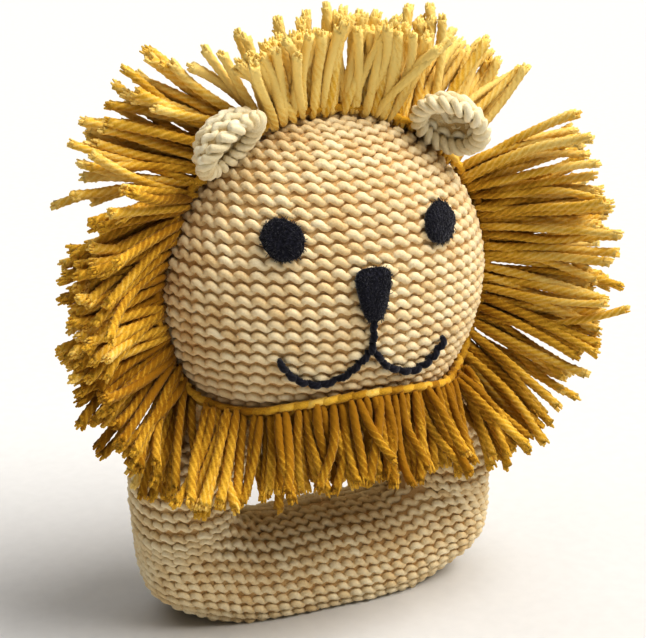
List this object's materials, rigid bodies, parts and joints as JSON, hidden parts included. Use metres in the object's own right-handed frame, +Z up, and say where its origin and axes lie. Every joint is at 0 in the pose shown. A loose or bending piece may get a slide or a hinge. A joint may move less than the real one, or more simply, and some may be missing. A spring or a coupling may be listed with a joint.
{
  "type": "knitted lion grip rattle",
  "caption": "Stuffed knitted lion head with a cut-yarn mane, sewn on a stuffed knitted ring that serves as a hand grip and a flat base.",
  "frame": {"origin": "middle of the bounding box at the base, which is the flat underside of the ring", "axes": "+Z up, the face looks along -Y, +X towards the left hand of the toy, which is on the right seen from the front"},
  "size_m": [0.138, 0.0555, 0.1429],
  "materials": {
    "cream_knit": "matt",
    "gold_yarn": "matt",
    "pale_crochet": "matt",
    "dark_felt": "matt",
    "dark_thread": "matt",
    "white_fibre": "matt",
    "clear_shell": "gloss",
    "bright_bead": "gloss"
  },
  "bodies": {
    "ring": {"ring_cover": "cream_knit", "ring_stuffing": "white_fibre"},
    "neck_core": {"neck_stuffing": "white_fibre"},
    "neck_skin": {"neck_seam": "cream_knit"},
    "head": {"face_cover": "cream_knit", "back_cover": "cream_knit", "head_stuffing_front": "white_fibre", "head_stuffing_back": "white_fibre", "rattle_shell_front": "clear_shell", "rattle_shell_back": "clear_shell", "left_eye": "dark_felt", "right_eye": "dark_felt", "nose": "dark_felt", "mouth_stem": "dark_thread", "mouth_left": "dark_thread", "mouth_right": "dark_thread", "mane_band": "gold_yarn"},
    "left_ear_cup": {"left_ear": "pale_crochet"},
    "right_ear_cup": {"right_ear": "pale_crochet"},
    "top_fringe": {"mane_top_1": "gold_yarn", "mane_top_2": "gold_yarn", "mane_top_3": "gold_yarn", "mane_top_4": "gold_yarn"},
    "upper_fringe_left": {"mane_upper_left_1": "gold_yarn", "mane_upper_left_2": "gold_yarn", "mane_upper_left_3": "gold_yarn"},
    "side_fringe_left": {"mane_side_left_1": "gold_yarn", "mane_side_left_2": "gold_yarn", "mane_side_left_3": "gold_yarn", "mane_side_left_4": "gold_yarn"},
    "lower_fringe_left": {"mane_lower_left_1": "gold_yarn", "mane_lower_left_2": "gold_yarn"},
    "cheek_fringe_left": {"mane_cheek_left": "gold_yarn"},
    "upper_fringe_right": {"mane_upper_right_1": "gold_yarn", "mane_upper_right_2": "gold_yarn", "mane_upper_right_3": "gold_yarn"},
    "side_fringe_right": {"mane_side_right_1": "gold_yarn", "mane_side_right_2": "gold_yarn", "mane_side_right_3": "gold_yarn", "mane_side_right_4": "gold_yarn"},
    "lower_fringe_right": {"mane_lower_right_1": "gold_yarn", "mane_lower_right_2": "gold_yarn"},
    "cheek_fringe_right": {"mane_cheek_right": "gold_yarn"},
    "beard": {"beard_1": "gold_yarn", "beard_2": "gold_yarn", "beard_3": "gold_yarn", "beard_4": "gold_yarn", "beard_5": "gold_yarn", "beard_6": "gold_yarn"},
    "bead_1": {"rattle_bead_1": "bright_bead"},
    "bead_2": {"rattle_bead_2": "bright_bead"},
    "bead_3": {"rattle_bead_3": "bright_bead"}
  },
  "joints": [
    {"name": "head_nod", "type": "hinge", "parent": "neck_skin", "child": "head", "pos_m": [0, 0.006, 0.0488], "axis": [1, 0, 0], "range_deg": [-7, 8], "stiffness_Nm_per_rad": 0.5, "deforming": ["neck_seam"]},
    {"name": "head_tilt", "type": "hinge", "parent": "neck_core", "child": "neck_skin", "pos_m": [0, 0.006, 0.0488], "axis": [0, 1, 0], "range_deg": [-5, 5], "stiffness_Nm_per_rad": 0.5, "deforming": ["neck_seam"]},
    {"name": "head_turn", "type": "hinge", "parent": "ring", "child": "neck_core", "pos_m": [0, 0.006, 0.0488], "axis": [0, 0, 1], "range_deg": [-5, 5], "stiffness_Nm_per_rad": 0.5, "deforming": ["neck_seam"]},
    {"name": "left_ear_fold", "type": "hinge", "parent": "head", "child": "left_ear_cup", "pos_m": [-0.02294, -0.01, 0.11115], "axis": [0.809, 0, 0.5878], "range_deg": [-6, 14], "stiffness_Nm_per_rad": 0.01},
    {"name": "right_ear_fold", "type": "hinge", "parent": "head", "child": "right_ear_cup", "pos_m": [0.02294, -0.01, 0.11115], "axis": [0.809, 0, -0.5878], "range_deg": [-6, 14], "stiffness_Nm_per_rad": 0.01},
    {"name": "top_fringe_sway", "type": "hinge", "parent": "head", "child": "top_fringe", "pos_m": [0, -0.001, 0.11895], "axis": [1, 0, 0], "range_deg": [-20, 20], "stiffness_Nm_per_rad": 0.03},
    {"name": "upper_fringe_left_sway", "type": "hinge", "parent": "head", "child": "upper_fringe_left", "pos_m": [-0.02487, -0.00101, 0.11032], "axis": [0.7771, 0, 0.6293], "range_deg": [-20, 3], "stiffness_Nm_per_rad": 0.03},
    {"name": "upper_fringe_right_sway", "type": "hinge", "parent": "head", "child": "upper_fringe_right", "pos_m": [0.02487, -0.00101, 0.11032], "axis": [0.7771, 0, -0.6293], "range_deg": [-20, 3], "stiffness_Nm_per_rad": 0.03},
    {"name": "side_fringe_left_sway", "type": "hinge", "parent": "head", "child": "side_fringe_left", "pos_m": [-0.03875, -0.00101, 0.08793], "axis": [0.1994, 0, 0.9799], "range_deg": [-20, 20], "stiffness_Nm_per_rad": 0.03},
    {"name": "side_fringe_right_sway", "type": "hinge", "parent": "head", "child": "side_fringe_right", "pos_m": [0.03875, -0.00101, 0.08793], "axis": [0.1994, 0, -0.9799], "range_deg": [-20, 20], "stiffness_Nm_per_rad": 0.03},
    {"name": "lower_fringe_left_sway", "type": "hinge", "parent": "head", "child": "lower_fringe_left", "pos_m": [-0.03666, -0.00101, 0.06567], "axis": [-0.3746, 0, 0.9272], "range_deg": [-6, 18], "stiffness_Nm_per_rad": 0.03},
    {"name": "lower_fringe_right_sway", "type": "hinge", "parent": "head", "child": "lower_fringe_right", "pos_m": [0.03666, -0.00101, 0.06567], "axis": [-0.3746, 0, -0.9272], "range_deg": [-6, 18], "stiffness_Nm_per_rad": 0.03},
    {"name": "cheek_fringe_left_sway", "type": "hinge", "parent": "head", "child": "cheek_fringe_left", "pos_m": [-0.0284, -0.0112, 0.0546], "axis": [-0.9, 0.436, 0], "range_deg": [0, 20], "stiffness_Nm_per_rad": 0.02},
    {"name": "cheek_fringe_right_sway", "type": "hinge", "parent": "head", "child": "cheek_fringe_right", "pos_m": [0.0284, -0.0112, 0.0546], "axis": [-0.9, -0.436, 0], "range_deg": [0, 20], "stiffness_Nm_per_rad": 0.02},
    {"name": "beard_swing", "type": "hinge", "parent": "head", "child": "beard", "pos_m": [0, -0.0235, 0.0595], "axis": [-1, 0, 0], "range_deg": [-4, 22], "stiffness_Nm_per_rad": 0.02},
    {"name": "bead_1_roll", "type": "slide", "parent": "head", "child": "bead_1", "axis": [1, 0, 0], "range_m": [-0.0025, 0.0025]},
    {"name": "bead_2_roll", "type": "slide", "parent": "head", "child": "bead_2", "axis": [1, 0, 0], "range_m": [-0.0025, 0.0025]},
    {"name": "bead_3_roll", "type": "slide", "parent": "head", "child": "bead_3", "axis": [1, 0, 0], "range_m": [-0.0025, 0.0025]}
  ]
}
